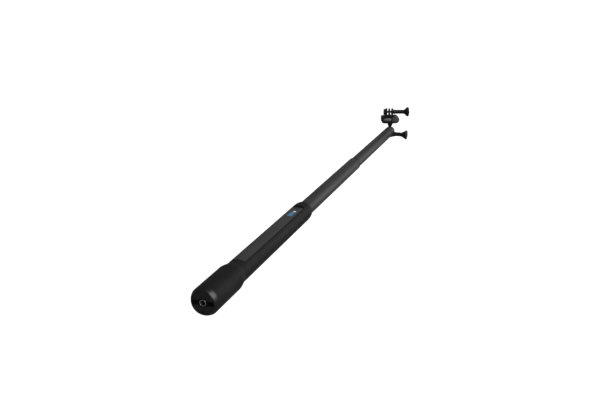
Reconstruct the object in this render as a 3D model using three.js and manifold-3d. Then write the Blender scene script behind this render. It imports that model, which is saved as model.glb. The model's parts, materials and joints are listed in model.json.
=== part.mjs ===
// Telescoping extension pole for an action camera, in millimetres.
// The pole runs along +Y from the centre of its base face. The grip's flat and the camera head
// face +Z, and the thumb screws point to +X.
import * as THREE from 'three';
import { mergeVertices } from 'three/addons/utils/BufferGeometryUtils.js';
import Module from 'manifold-3d';

const wasm = await Module();
wasm.setup();

// ---- driving dimensions -------------------------------------------------------------------

const FACETS = 36;                 // sides of the tubes and of the grip
const SMALL_FACETS = 24;           // sides of screws, knobs and other small round pieces
const CLEARANCE = 0.15;            // radial play between pieces that slide or turn

const KNOB_RADIUS = 17.7;          // round knob at the base
const KNOB_BEVEL_START = 14.2;
const KNOB_BEVEL_LENGTH = 6.5;
const KNOB_END = 71;
const TAPER_END = 90;
const GRIP_RADIUS = 15;
const GRIP_ROUND_START = 334;
const HANDLE_TOP = 346;
const COLLAR_RADIUS = 13.1;        // where the grip's rounded end meets the collar

const FLAT_HEIGHT = 12.9;          // height of the slightly crowned flat on top of the grip
const CROWN_RADIUS = 31;
const FLAT_START = 100;
const FLAT_END = 323;
const FLAT_HALF_WIDTH = 10;
const FLAT_CORNER = 4.5;
const INLAY_HALF_WIDTH = 8.3;
const INLAY_CORNER = 3.5;
const INLAY_THICKNESS = 0.35;

const HANDLE_BORE = 11.65;
const HANDLE_TUBE_RADIUS = 12.1;
const HANDLE_TUBE_START = 6;
const LOWER_TUBE_RADIUS = 11.5;
const LOWER_TUBE_BORE = 10.35;
const LOWER_TUBE_START = 331;
const LOWER_TUBE_END = 632;
const UPPER_TUBE_RADIUS = 10.15;
const UPPER_TUBE_BORE = 9.15;
const UPPER_TUBE_START = 616;
const CLAMP_START = 872;

const THREAD_HOLE_RADIUS = 3.2;    // tripod thread, 1/4-20
const INSERT_RADIUS = 3.75;
const INSERT_DEPTH = 11;
const END_CAP_RADIUS = 13.6;
const END_CAP_THICKNESS = 2;
const PLUG_TOP = 18;

const CLAMP_END = 927;
const CLAMP_ROUND_START = 919;
const CLAMP_TIP_RADIUS = 7.8;
const CLAMP_SCREW_Y = 895;
const BALL_Y = 920;
const BALL_RADIUS = 6.1;
const NECK_RADIUS = 3.2;

const HEAD_TURN = THREE.MathUtils.degToRad(19);   // the swivel's turn about the stud as stored
const BLOCK_BOTTOM = 18.3;         // heights in the head are above the ball's centre
const BLOCK_TOP = 33;
const SPIGOT_TOP = 26.6;
const BLOCK_HALF_DEPTH = 9;
const DIAL_X = 10.4;
const DIAL_Z = 26.5;
const DIAL_RADIUS = 8.2;
const DIAL_SEAT_Y = -5;            // the dial's recess ends here
const PIVOT_Z = 41.8;
const FINGER_RADIUS = 7.5;
const FINGER_THICKNESS = 3;
const FINGER_PITCH = 6.2;
const FINGER_SHIFT = -2.5;

const BOLT_RADIUS = 2.4;           // M5
const BOLT_HOLE_RADIUS = 2.6;
const NUT_FLATS = 8;
const THUMB_KNOB_RADIUS = 9.7;

// ---- materials ------------------------------------------------------------------------------

function finish(color, roughness, metalness) {
  return new THREE.MeshStandardMaterial({ color, roughness, metalness });
}

const softBlack = finish(0x242424, 0.75, 0);
const glossBlack = finish(0x151515, 0.15, 0);
const inlayGrey = finish(0x3c3c3d, 0.5, 0);
const anodised = finish(0x3a3a3c, 0.4, 0.8);
const nylonBlack = finish(0x1a1a1a, 0.55, 0);
const sealBlack = finish(0x101010, 0.85, 0);
const acetalWhite = finish(0xd8d6cf, 0.5, 0);
const steel = finish(0x8c8e90, 0.35, 1);
const emblemBlue = finish(0x3b6983, 0.4, 0);

// ---- solids and meshes ------------------------------------------------------------------------

function signedVolume(positions, corners) {
  const [a, b, c] = [new THREE.Vector3(), new THREE.Vector3(), new THREE.Vector3()];
  let volume = 0;
  for (let i = 0; i < corners.length; i += 3) {
    a.fromArray(positions, 3 * corners[i]);
    b.fromArray(positions, 3 * corners[i + 1]);
    c.fromArray(positions, 3 * corners[i + 2]);
    volume += a.dot(b.cross(c)) / 6;
  }
  return volume;
}

// A closed geometry becomes a solid: shared corners are merged, triangles that have shrunk to a
// line at an axis are dropped, and the faces are turned to point out.
function solidOf(geometry) {
  const plain = geometry.clone();
  plain.deleteAttribute('normal');
  plain.deleteAttribute('uv');
  const merged = mergeVertices(plain, 1e-4);
  const positions = merged.attributes.position.array;
  const index = merged.index.array;
  const corners = [];
  for (let i = 0; i < index.length; i += 3) {
    const [a, b, c] = index.slice(i, i + 3);
    if (a !== b && b !== c && c !== a) corners.push(a, b, c);
  }
  if (signedVolume(positions, corners) < 0) corners.reverse();
  return new wasm.Manifold(new wasm.Mesh({
    numProp: 3,
    vertProperties: new Float32Array(positions),
    triVerts: new Uint32Array(corners),
  }));
}

function geometryOf(solid) {
  const mesh = solid.getMesh();
  const geometry = new THREE.BufferGeometry();
  geometry.setAttribute('position', new THREE.Float32BufferAttribute(mesh.vertProperties, 3));
  geometry.setIndex(Array.from(mesh.triVerts));
  geometry.computeVertexNormals();
  return geometry;
}

function piece(name, solid, material) {
  const mesh = new THREE.Mesh(geometryOf(solid), material);
  mesh.name = name;
  return mesh;
}

// A turned piece about the Y axis. The outline is a list of [radius, y] corners; it closes on
// itself, and a corner on the axis is allowed.
function turned(outline, facets = FACETS) {
  const points = [...outline, outline[0]].map(([radius, y]) => new THREE.Vector2(radius, y));
  return solidOf(new THREE.LatheGeometry(points, facets));
}

function tube(inner, outer, start, end, facets = FACETS) {
  return turned([[inner, start], [outer, start], [outer, end], [inner, end]], facets);
}

function rod(radius, start, end, facets = SMALL_FACETS) {
  return turned([[0, start], [radius, start], [radius, end], [0, end]], facets);
}

function boxSolid(low, high) {
  const size = high.map((value, axis) => value - low[axis]);
  const geometry = new THREE.BoxGeometry(...size);
  geometry.translate(...high.map((value, axis) => (value + low[axis]) / 2));
  return solidOf(geometry);
}

function extruded(shape, from, to) {
  const geometry = new THREE.ExtrudeGeometry(shape, {
    depth: to - from, bevelEnabled: false, curveSegments: 10,
  });
  geometry.translate(0, 0, from);
  return solidOf(geometry);
}

const alongX = (solid) => solid.rotate([0, 0, -90]);       // the Y axis turns to +X
const alongZ = (solid) => solid.rotate([90, 0, 0]);        // the Y axis turns to +Z
const extrudeAlongX = (solid) => solid.rotate([90, 0, 90]);   // outline's x, y turn to Y, Z
const extrudeAlongY = (solid) => solid.rotate([90, 0, 0]);    // outline's x, y turn to X, Z

// Corners along a quarter of an ellipse from (centreR + a, centreY) to (centreR, centreY + b).
function quarter(centreR, centreY, a, b, steps = 5) {
  const corners = [];
  for (let i = 0; i <= steps; i += 1) {
    const angle = (Math.PI / 2) * (i / steps);
    corners.push([centreR + a * Math.cos(angle), centreY + b * Math.sin(angle)]);
  }
  return corners;
}

function hexagon(flats) {
  const corner = flats / Math.sqrt(3);
  const shape = new THREE.Shape();
  for (let i = 0; i < 6; i += 1) {
    const angle = (Math.PI / 3) * i;
    shape[i ? 'lineTo' : 'moveTo'](corner * Math.cos(angle), corner * Math.sin(angle));
  }
  return shape;
}

// A hexagonal nut or pocket along X between two x values.
function hexAlongX(flats, from, to) {
  return extruded(hexagon(flats), from, to).rotate([90, 0, 90]);
}

// A rectangle in x and y with round corners.
function roundedPanel(left, right, start, end, corner) {
  const shape = new THREE.Shape();
  shape.moveTo(left, start + corner);
  shape.absarc(left + corner, start + corner, corner, Math.PI, 1.5 * Math.PI, false);
  shape.absarc(right - corner, start + corner, corner, 1.5 * Math.PI, 2 * Math.PI, false);
  shape.absarc(right - corner, end - corner, corner, 0, 0.5 * Math.PI, false);
  shape.absarc(left + corner, end - corner, corner, 0.5 * Math.PI, Math.PI, false);
  return shape;
}

// ---- handle -------------------------------------------------------------------------------------

// Everything under the crowned flat raised by offset.
function underCrown(offset) {
  const radius = CROWN_RADIUS + offset;
  return rod(radius, 0, HANDLE_TOP, 108).translate([0, 0, FLAT_HEIGHT - CROWN_RADIUS]);
}

function gripOutline() {
  const bevel = [
    [KNOB_BEVEL_START, 0], [15.35, 1.35], [16.3, 2.9], [17.1, 4.6], [KNOB_RADIUS, KNOB_BEVEL_LENGTH],
  ];
  const taper = [];
  const taperSteps = 6;
  for (let i = 0; i <= taperSteps; i += 1) {
    const share = i / taperSteps;
    const eased = THREE.MathUtils.smoothstep(share, 0, 1);
    taper.push([
      THREE.MathUtils.lerp(KNOB_RADIUS, GRIP_RADIUS, eased),
      THREE.MathUtils.lerp(KNOB_END, TAPER_END, share),
    ]);
  }
  const roundedEnd = quarter(
    COLLAR_RADIUS, GRIP_ROUND_START, GRIP_RADIUS - COLLAR_RADIUS, HANDLE_TOP - GRIP_ROUND_START,
  );
  const bore = HANDLE_TUBE_RADIUS + 0.1;
  const collarBore = 12.75;
  const capSeat = END_CAP_RADIUS + CLEARANCE;
  return [
    ...bevel, ...taper, ...roundedEnd,
    [collarBore, HANDLE_TOP], [collarBore, GRIP_ROUND_START + 0.2],
    [bore, GRIP_ROUND_START + 0.2], [bore, END_CAP_THICKNESS + 0.2],
    [capSeat, END_CAP_THICKNESS + 0.2], [capSeat, 0],
  ];
}

function gripShell() {
  const flat = extruded(
    roundedPanel(-FLAT_HALF_WIDTH, FLAT_HALF_WIDTH, FLAT_START, FLAT_END, FLAT_CORNER), 5, 30,
  ).subtract(underCrown(0));
  const pocket = inlayPanel(0.1, 30).subtract(underCrown(-INLAY_THICKNESS - 0.05));
  return turned(gripOutline()).subtract(flat).subtract(pocket);
}

// The inlay's outline grown by play, from inside the grip up to a height.
function inlayPanel(play, top) {
  const halfWidth = INLAY_HALF_WIDTH + play;
  const [start, end] = [FLAT_START + 1 - play, FLAT_END - 1 + play];
  return extruded(roundedPanel(-halfWidth, halfWidth, start, end, INLAY_CORNER + play), 5, top);
}

function endCap() {
  const disc = tube(INSERT_RADIUS + 0.2, END_CAP_RADIUS, 0, END_CAP_THICKNESS);
  const drain = rod(1.1, -1, END_CAP_THICKNESS + 1, 12).translate([0, 0, -10.9]);
  return disc.subtract(drain);
}

function basePlug() {
  const seat = HANDLE_TUBE_RADIUS - 0.05;
  const inTube = HANDLE_BORE - CLEARANCE;
  const bore = INSERT_RADIUS + 0.2;
  const groove = { floor: 10, start: 9.2, end: 12.4 };
  return turned([
    [bore, 2.3], [seat, 2.3], [seat, 5.7], [inTube, 5.7], [inTube, groove.start],
    [groove.floor, groove.start], [groove.floor, groove.end], [inTube, groove.end],
    [inTube, PLUG_TOP], [7, PLUG_TOP], [7, 14], [0, 14], [0, 12], [bore, 12],
  ]);
}

function handle() {
  const inlay = inlayPanel(0, 30).intersect(underCrown(0)).subtract(underCrown(-INLAY_THICKNESS));
  const seal = turned([
    [10.1, 9.5], [11.1, 9.5], [11.55, 10], [11.55, 11.6], [11.1, 12.1], [10.1, 12.1],
  ]);
  const emblem = extruded(roundedPanel(-3.4, 4.6, 277, 303.4, 3), 5, 30)
    .intersect(underCrown(0.25))
    .subtract(underCrown(0.02));
  const group = new THREE.Group();
  group.add(
    piece('handle_tube', tube(HANDLE_BORE, HANDLE_TUBE_RADIUS, HANDLE_TUBE_START, 334), anodised),
    piece('grip_shell', gripShell(), softBlack),
    piece('end_cap', endCap(), glossBlack),
    piece('base_plug', basePlug(), nylonBlack),
    piece('plug_seal', seal, sealBlack),
    piece('tripod_insert', tube(THREAD_HOLE_RADIUS, INSERT_RADIUS, 0.15, INSERT_DEPTH), steel),
    piece('grip_inlay', inlay, inlayGrey),
    piece('emblem', emblem, emblemBlue),
    piece('collar_bush', tube(11.6, 12.6, 334.4, 343.6), nylonBlack),
    piece('collar_wiper', tube(11.6, 12.55, 343.8, 347), sealBlack),
  );
  return group;
}

// ---- telescoping sections --------------------------------------------------------------------

// The twist lock in the lower end of a tube: an eccentric cam plug fixed in the tube, a split
// expander round its cam, and a washer and screw that keep the expander on.
function twistLock(name, tubeStart, outerBore, tubeBore, size) {
  const { expanderLength, camRadius, camOffset, boreRadius, flangeLength } = size;
  const flangeStart = tubeStart - flangeLength;
  const expanderEnd = flangeStart - 0.4;
  const expanderStart = expanderEnd - expanderLength;
  const washerEnd = expanderStart - 0.4;
  const washerStart = washerEnd - 1.5;
  const headStart = washerStart - 2.3;
  const screwEnd = flangeStart - 4;
  const onCam = (solid) => solid.translate([camOffset, 0, 0]);

  const slit = boxSolid([0, expanderStart - 1, -1.1], [20, expanderEnd + 1, 1.1]);
  const expander = tube(boreRadius, outerBore - 0.2, expanderStart, expanderEnd).subtract(slit);
  const flange = rod(outerBore - 0.45, flangeStart, tubeStart - 0.1, FACETS);
  const spigot = rod(tubeBore - 0.12, tubeStart - 0.2, tubeStart + 6, FACETS);
  const cam = onCam(rod(camRadius, washerEnd + 0.1, flangeStart + 0.1));
  const screwHole = onCam(rod(1.7, washerEnd - 1, screwEnd + 1, 16));
  const plug = flange.add(spigot).add(cam).subtract(screwHole);
  const washer = onCam(tube(1.8, camRadius + 3, washerStart, washerEnd, SMALL_FACETS));
  const screw = onCam(turned([
    [0, headStart], [3, headStart], [3.4, headStart + 0.6], [3.4, washerStart - 0.1],
    [1.5, washerStart - 0.1], [1.5, screwEnd], [0, screwEnd],
  ], 16));
  return [
    piece(`${name}_expander`, expander, acetalWhite),
    piece(`${name}_cam_plug`, plug, nylonBlack),
    piece(`${name}_lock_washer`, washer, steel),
    piece(`${name}_lock_screw`, screw, steel),
  ];
}

function lowerSection() {
  const collarStart = LOWER_TUBE_END - 6;
  const lock = twistLock('lower', LOWER_TUBE_START, HANDLE_BORE, LOWER_TUBE_BORE, {
    expanderLength: 16, camRadius: 4.8, camOffset: 0.8, boreRadius: 6, flangeLength: 7.4,
  });
  const collar = turned([
    [10.3, collarStart + 0.2], [LOWER_TUBE_RADIUS, collarStart + 0.2],
    ...quarter(10.7, LOWER_TUBE_END - 2, LOWER_TUBE_RADIUS - 10.7, 2, 3), [10.3, LOWER_TUBE_END],
  ]);
  const shell = tube(LOWER_TUBE_BORE, LOWER_TUBE_RADIUS, LOWER_TUBE_START + 0.1, collarStart);
  const group = new THREE.Group();
  group.add(
    ...lock,
    piece('lower_tube', shell, anodised),
    piece('lower_collar', collar, nylonBlack),
  );
  return group;
}

// The clamp is a plug in the tube's end, slit down its middle. Its jaws hold the ball, and a
// groove on top lets the ball's neck lie over.
function headClamp() {
  const plugRadius = UPPER_TUBE_BORE - CLEARANCE;
  const body = turned([
    [0, CLAMP_START - 12], [plugRadius, CLAMP_START - 12], [plugRadius, CLAMP_START + 0.2],
    [UPPER_TUBE_RADIUS, CLAMP_START + 0.2],
    ...quarter(
      CLAMP_TIP_RADIUS, CLAMP_ROUND_START,
      UPPER_TUBE_RADIUS - CLAMP_TIP_RADIUS, CLAMP_END - CLAMP_ROUND_START,
    ),
    [0, CLAMP_END],
  ]);
  const atScrew = (solid) => solid.translate([0, CLAMP_SCREW_Y, 0]);
  const boss = atScrew(alongX(turned([[0, 5], [8.4, 5], [6, 12.5], [0, 12.5]], SMALL_FACETS)));
  const slit = boxSolid([-0.8, CLAMP_SCREW_Y - 12, -20], [0.8, CLAMP_END + 5, 20]);
  const grooveHalf = NECK_RADIUS + 0.35;
  const groove = boxSolid([-grooveHalf, BALL_Y - grooveHalf, -grooveHalf], [grooveHalf, 940, 20]);
  const cavity = solidOf(new THREE.SphereGeometry(BALL_RADIUS + 0.3, SMALL_FACETS, 14))
    .translate([0, BALL_Y, 0]);
  const bolt = atScrew(alongX(rod(BOLT_HOLE_RADIUS + 0.1, -20, 20)));
  const pocket = atScrew(hexAlongX(NUT_FLATS + 0.4, -14, -5.5));
  return body.add(boss).subtract(slit).subtract(groove).subtract(cavity)
    .subtract(bolt)
    .subtract(pocket);
}

function upperSection() {
  const lock = twistLock('upper', UPPER_TUBE_START, LOWER_TUBE_BORE, UPPER_TUBE_BORE, {
    expanderLength: 13, camRadius: 4.1, camOffset: 0.7, boreRadius: 5.2, flangeLength: 5.8,
  });
  const shell = tube(UPPER_TUBE_BORE, UPPER_TUBE_RADIUS, UPPER_TUBE_START + 0.1, CLAMP_START);
  const nut = hexAlongX(NUT_FLATS, -9, -5.8).subtract(alongX(rod(BOLT_HOLE_RADIUS, -20, 20)));
  const group = new THREE.Group();
  group.add(
    ...lock,
    piece('upper_tube', shell, anodised),
    piece('head_clamp', headClamp(), nylonBlack),
    piece('clamp_nut', nut.translate([0, CLAMP_SCREW_Y, 0]), steel),
  );
  return group;
}

// ---- thumb screws ---------------------------------------------------------------------------

// A thumb screw along X: a steel bolt moulded into a plastic knob that flares to a wide rim.
// The barrel starts at x = start with radius barrel, and narrows to waist.
function thumbScrew(name, { boltStart, start, length, barrel, waist, flareLength, rimLength }) {
  const end = start + length;
  const rimStart = end - rimLength;
  const flareStart = rimStart - flareLength;
  const boreEnd = start + 13;
  const flare = [
    [waist, flareStart], [waist + 0.9, flareStart + 0.3 * flareLength],
    [THUMB_KNOB_RADIUS - 0.5, rimStart],
  ];
  const knob = turned([
    [0, boreEnd], [BOLT_RADIUS + 0.15, boreEnd], [BOLT_RADIUS + 0.15, start], [barrel, start],
    [barrel, start + 1.5], [waist, start + 7],
    ...flare, [THUMB_KNOB_RADIUS, rimStart + 0.8], [THUMB_KNOB_RADIUS, end - 2.8],
    [THUMB_KNOB_RADIUS - 1.4, end - 1.5], [0, end],
  ], SMALL_FACETS);
  const bolt = rod(BOLT_RADIUS, boltStart, boreEnd - 0.4);
  const group = new THREE.Group();
  group.add(
    piece(`${name}_knob`, alongX(knob), nylonBlack),
    piece(`${name}_bolt`, alongX(bolt), steel),
  );
  return group;
}

// ---- camera head ------------------------------------------------------------------------------

// The stud about the Y axis, before it is stood up: the ball, its neck, and the swivel spigot.
function ballStud() {
  const ball = [[0, -BALL_RADIUS]];
  const steps = 11;
  const neckAngle = Math.PI - Math.asin(NECK_RADIUS / BALL_RADIUS);
  for (let i = 1; i <= steps; i += 1) {
    const angle = neckAngle * (i / steps);
    ball.push([BALL_RADIUS * Math.sin(angle), -BALL_RADIUS * Math.cos(angle)]);
  }
  const spigot = 3.5;
  const flange = BLOCK_BOTTOM - 0.4;
  return turned([
    ...ball, [NECK_RADIUS, 10.9], [4.7, 12.6], [5.6, flange],
    [spigot, flange], [spigot, SPIGOT_TOP], [1.35, SPIGOT_TOP], [1.35, 19], [0, 19],
  ], SMALL_FACETS);
}

function stud() {
  const headStart = SPIGOT_TOP + 1.5;
  const washer = tube(1.6, 4.1, SPIGOT_TOP + 0.4, headStart - 0.1, SMALL_FACETS);
  const screw = turned([
    [0, 20], [1.15, 20], [1.15, headStart], [3, headStart], [3, headStart + 1.5],
    [2.4, headStart + 2], [0, headStart + 2],
  ], 16);
  const group = new THREE.Group();
  group.add(
    piece('ball_stud', alongZ(ballStud()), nylonBlack),
    piece('swivel_washer', alongZ(washer), steel),
    piece('swivel_screw', alongZ(screw), steel),
  );
  return group;
}

// A cylinder along Y through the dial's centre.
function atDial(radius, from, to, facets = SMALL_FACETS) {
  return rod(radius, from, to, facets).translate([DIAL_X, 0, DIAL_Z]);
}

function swivelBlock() {
  const [left, right] = [-19.3, 13];
  const [low, top] = [5.5, 3];            // corner radii below and above
  const outline = new THREE.Shape();
  outline.absarc(left + low, BLOCK_BOTTOM + low, low, Math.PI, 1.5 * Math.PI, false);
  outline.absarc(right - low, BLOCK_BOTTOM + low, low, 1.5 * Math.PI, 2 * Math.PI, false);
  outline.absarc(right - top, BLOCK_TOP - top, top, 0, 0.5 * Math.PI, false);
  outline.absarc(left + top, BLOCK_TOP - top, top, 0.5 * Math.PI, Math.PI, false);
  const body = extrudeAlongY(extruded(outline, -BLOCK_HALF_DEPTH, BLOCK_HALF_DEPTH));
  const lobe = atDial(DIAL_RADIUS - 0.4, DIAL_SEAT_Y, BLOCK_HALF_DEPTH);
  const recess = atDial(DIAL_RADIUS + 0.4, -20, DIAL_SEAT_Y);
  const shaftBore = atDial(2.05, -20, 5.5);
  const spigotBore = alongZ(rod(3.75, 0, 30));
  const chamber = alongZ(rod(4.4, SPIGOT_TOP + 0.2, 40));
  return body.add(lobe).subtract(recess).subtract(shaftBore)
    .subtract(spigotBore)
    .subtract(chamber);
}

// Three fingers on a base plate, with the nut's boss on the outer side of the first finger.
function cameraMount() {
  const baseTop = BLOCK_TOP + 1;
  const plate = boxSolid([-14, -8, BLOCK_TOP + 0.2], [5.4, 8, baseTop]);
  const finger = new THREE.Shape();
  finger.moveTo(-FINGER_RADIUS, baseTop - 0.4);
  finger.lineTo(FINGER_RADIUS, baseTop - 0.4);
  finger.absarc(0, PIVOT_Z, FINGER_RADIUS, 0, Math.PI, false);
  let mount = plate;
  for (const place of [-1, 0, 1]) {
    const middle = FINGER_SHIFT + place * FINGER_PITCH;
    const half = FINGER_THICKNESS / 2;
    mount = mount.add(extrudeAlongX(extruded(finger, middle - half, middle + half)));
  }
  const outside = FINGER_SHIFT - FINGER_PITCH - FINGER_THICKNESS / 2;
  const atPivot = (solid) => solid.translate([0, 0, PIVOT_Z]);
  const boss = atPivot(alongX(rod(6, outside - 4.2, outside + 0.5)));
  const pocket = atPivot(hexAlongX(NUT_FLATS + 0.4, outside - 8, outside - 0.6));
  const hole = atPivot(alongX(rod(BOLT_HOLE_RADIUS, -30, 30)));
  return mount.add(boss).subtract(pocket).subtract(hole);
}

function swivelHead() {
  const nutInner = FINGER_SHIFT - FINGER_PITCH - FINGER_THICKNESS / 2 - 0.9;
  const nut = hexAlongX(NUT_FLATS, nutInner - 3, nutInner)
    .subtract(alongX(rod(BOLT_HOLE_RADIUS, -30, 30)));
  const group = new THREE.Group();
  group.add(
    piece('swivel_block', swivelBlock(), nylonBlack),
    piece('camera_mount', cameraMount(), nylonBlack),
    piece('camera_nut', nut.translate([0, 0, PIVOT_Z]), steel),
  );
  return group;
}

function lockDial() {
  const front = DIAL_SEAT_Y - 6.5;
  const back = DIAL_SEAT_Y - 0.3;
  const dial = turned([
    [0, front - 0.6], [DIAL_RADIUS - 2.4, front], [DIAL_RADIUS, front + 1.6], [DIAL_RADIUS, back],
    [2, back], [2, back - 3.5], [0, back - 3.5],
  ], SMALL_FACETS).translate([DIAL_X, 0, DIAL_Z]);
  const group = new THREE.Group();
  group.add(
    piece('lock_dial', dial, nylonBlack),
    piece('dial_shaft', atDial(1.8, back - 3.2, 5), steel),
  );
  return group;
}

// ---- the pole -----------------------------------------------------------------------------------

const clampScrew = thumbScrew('clamp', {
  boltStart: -9.3, start: 12.8, length: 31, barrel: 5.3, waist: 4.2, flareLength: 10, rimLength: 4.2,
});
clampScrew.position.set(0, CLAMP_SCREW_Y, 0);

const cameraScrew = thumbScrew('camera', {
  boltStart: -14, start: 5.4, length: 34.8, barrel: 4.5, waist: 4.2, flareLength: 6, rimLength: 6,
});
cameraScrew.position.set(0, 0, PIVOT_Z);

const head = new THREE.Group();
head.position.set(0, BALL_Y, 0);
head.rotation.z = HEAD_TURN;
head.add(stud(), swivelHead(), lockDial(), cameraScrew);

const pole = new THREE.Group();
pole.add(handle(), lowerSection(), upperSection(), clampScrew, head);

export default pole;
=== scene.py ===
import json
import math

import bmesh
import bpy
from mathutils import Matrix, Vector


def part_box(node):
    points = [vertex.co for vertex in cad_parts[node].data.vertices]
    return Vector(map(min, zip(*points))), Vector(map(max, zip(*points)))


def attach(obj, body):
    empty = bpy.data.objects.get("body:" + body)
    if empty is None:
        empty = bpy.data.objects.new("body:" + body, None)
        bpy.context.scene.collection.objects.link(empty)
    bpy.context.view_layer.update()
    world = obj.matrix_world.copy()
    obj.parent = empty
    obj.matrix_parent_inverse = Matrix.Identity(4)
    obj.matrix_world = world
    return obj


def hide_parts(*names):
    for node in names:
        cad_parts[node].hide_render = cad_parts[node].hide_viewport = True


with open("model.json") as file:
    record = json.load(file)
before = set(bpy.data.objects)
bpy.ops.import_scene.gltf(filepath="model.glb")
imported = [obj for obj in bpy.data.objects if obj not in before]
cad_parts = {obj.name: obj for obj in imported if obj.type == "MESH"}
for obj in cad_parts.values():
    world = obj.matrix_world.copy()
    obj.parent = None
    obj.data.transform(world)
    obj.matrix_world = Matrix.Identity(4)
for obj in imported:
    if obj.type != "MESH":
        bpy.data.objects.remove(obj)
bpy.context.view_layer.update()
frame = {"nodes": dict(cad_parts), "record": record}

# A telescoping extension pole for an action camera. Lengths below are in millimetres unless a
# comment says otherwise, and the mesh builders turn them into metres. The pole runs along +Y,
# its grip's flat and its head face +Z, and the thumb screws point to +X.

MM = 0.001
TAU = 2 * math.pi

# ---- sizes shared by several pieces ---------------------------------------------------------


def box_mm(node):
    """The lowest and highest corners of a CAD node, in millimetres."""
    low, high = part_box(node)
    return low / MM, high / MM


SHARP_ANGLE = 38                # degrees; a blunter edge is shaded smooth

KNOB_RADIUS = 17.7
KNOB_BEVEL_LENGTH = 6.5
KNOB_END = 71
TAPER_END = 90
GRIP_RADIUS = 15
GRIP_ROUND_START = 334
COLLAR_RADIUS = 13.1
HANDLE_TUBE_SEAT = 12.2         # inside radius of the grip, round its tube
HANDLE_TOP = 346
KNOB_LIP_RADIUS = 14.2          # inner edge of the bevel round the end cap
END_CAP_RADIUS = 13.6
END_CAP_HOLE_RADIUS = 3.95      # for the tripod insert
INSERT_RADIUS = 3.75
FLAT_HEIGHT = 12.9
CROWN_RADIUS = 31
FLAT_START = 100
FLAT_END = 323
FLAT_HALF_WIDTH = 10
FLAT_CORNER = 4.5
FLAT_RIM = 1                    # from the ends of the flat to the ends of the inlay
INLAY_HALF_WIDTH = 8.3
INLAY_CORNER = 3.5
INLAY_THICKNESS = 0.35
LOWER_TUBE_BORE = 10.35
UPPER_TUBE_RADIUS = 10.15
UPPER_TUBE_BORE = 9.15
CLAMP_START = 872.2
CLAMP_END = 927
CLAMP_ROUND_START = 919
CLAMP_TIP_RADIUS = 7.8

BALL_Y = 920
BALL_RADIUS = 6.1
NECK_RADIUS = 3.2
CLAMP_SCREW_Y = 895
PIVOT_Z = 41.8
HEAD_TURN = math.radians(19)
BLOCK_BOTTOM = 18.3
BLOCK_TOP = 33
SPIGOT_TOP = 26.6
BLOCK_HALF_DEPTH = 9
DIAL_X = 10.4
DIAL_Z = 26.5
DIAL_RADIUS = 8.2
DIAL_SEAT_Y = -5
FINGER_RADIUS = 7.5
FINGER_THICKNESS = 3
FINGER_PITCH = 6.2
FINGER_SHIFT = -2.5
BOLT_RADIUS = 2.4
BOLT_HOLE_RADIUS = 2.6
NUT_FLATS = 8
M5_PITCH = 0.8
THUMB_KNOB_RADIUS = 9.7

# ---- places ---------------------------------------------------------------------------------

QUARTER_TURN = math.radians(90)
ALONG_Y = Matrix.Identity(4)
ALONG_X = Matrix.Rotation(-QUARTER_TURN, 4, "Z")
ALONG_Z = Matrix.Rotation(QUARTER_TURN, 4, "X")
EXTRUDED_ALONG_X = Matrix.Rotation(QUARTER_TURN, 4, "Z") @ Matrix.Rotation(QUARTER_TURN, 4, "X")
HEAD = Matrix.Translation((0, BALL_Y, 0)) @ Matrix.Rotation(HEAD_TURN, 4, "Z")


def moved(x, y, z):
    """A place shifted from the origin."""
    return Matrix.Translation((x, y, z))


# ---- outlines -------------------------------------------------------------------------------


def rounded(corners, steps=5):
    """The outline with its corners rounded. A corner is (across, along) or (across, along, radius)."""
    outline = []
    for i, corner in enumerate(corners):
        here = Vector(corner[:2])
        size = corner[2] if len(corner) > 2 else 0
        if not size:
            outline.append(tuple(here))
            continue
        before = Vector(corners[i - 1][:2]) - here
        after = Vector(corners[(i + 1) % len(corners)][:2]) - here
        half = before.angle(after) / 2
        reach = min(size / math.tan(half), 0.48 * before.length, 0.48 * after.length)
        radius = reach * math.tan(half)
        middle = (before.normalized() + after.normalized()).normalized()
        centre = here + middle * (radius / math.sin(half))
        start = here + before.normalized() * reach - centre
        end = here + after.normalized() * reach - centre
        sweep = start.angle_signed(end)
        for k in range(steps + 1):
            turn = Matrix.Rotation(-sweep * k / steps, 2)
            outline.append(tuple(centre + turn @ start))
    return outline


def arc(centre, radii, first, last, steps):
    """Points on an ellipse from one angle to another, in degrees."""
    points = []
    for k in range(steps + 1):
        angle = math.radians(first + (last - first) * k / steps)
        points.append((centre[0] + radii[0] * math.cos(angle), centre[1] + radii[1] * math.sin(angle)))
    return points


def curve_through(first, middle, last, steps):
    """Points on a parabola through three points."""
    points = []
    for k in range(steps + 1):
        u = k / steps
        weights = ((1 - u) * (1 - 2 * u), 4 * u * (1 - u), u * (2 * u - 1))
        points.append(tuple(
            sum(w * p[axis] for w, p in zip(weights, (first, middle, last))) for axis in (0, 1)
        ))
    return points


def rounded_panel(left, right, start, end, corner):
    """A rectangle in x and y with round corners."""
    return rounded([
        (left, start, corner), (right, start, corner), (right, end, corner), (left, end, corner),
    ], 10)


def hexagon(flats):
    """Corners of a hexagon of the given width across flats."""
    corner = flats / math.sqrt(3)
    return [(corner * math.cos(TAU * k / 6), corner * math.sin(TAU * k / 6)) for k in range(6)]


# ---- mesh builders --------------------------------------------------------------------------


def make(name, vertices, faces, place, sharp=SHARP_ANGLE):
    """A mesh object from points in millimetres, with its faces turned outwards."""
    mesh = bpy.data.meshes.new(name)
    points = [(place @ Vector(v)) * MM for v in vertices]
    mesh.from_pydata(points, [], faces)
    shape = bmesh.new()
    shape.from_mesh(mesh)
    bmesh.ops.remove_doubles(shape, verts=shape.verts, dist=1e-7)
    bmesh.ops.recalc_face_normals(shape, faces=shape.faces)
    shape.to_mesh(mesh)
    shape.free()
    obj = bpy.data.objects.new(name, mesh)
    bpy.context.scene.collection.objects.link(obj)
    smooth(obj, sharp)
    return obj


def smooth(obj, sharp=SHARP_ANGLE):
    obj.data.shade_smooth()
    obj.data.set_sharp_from_angle(angle=math.radians(sharp))


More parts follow.
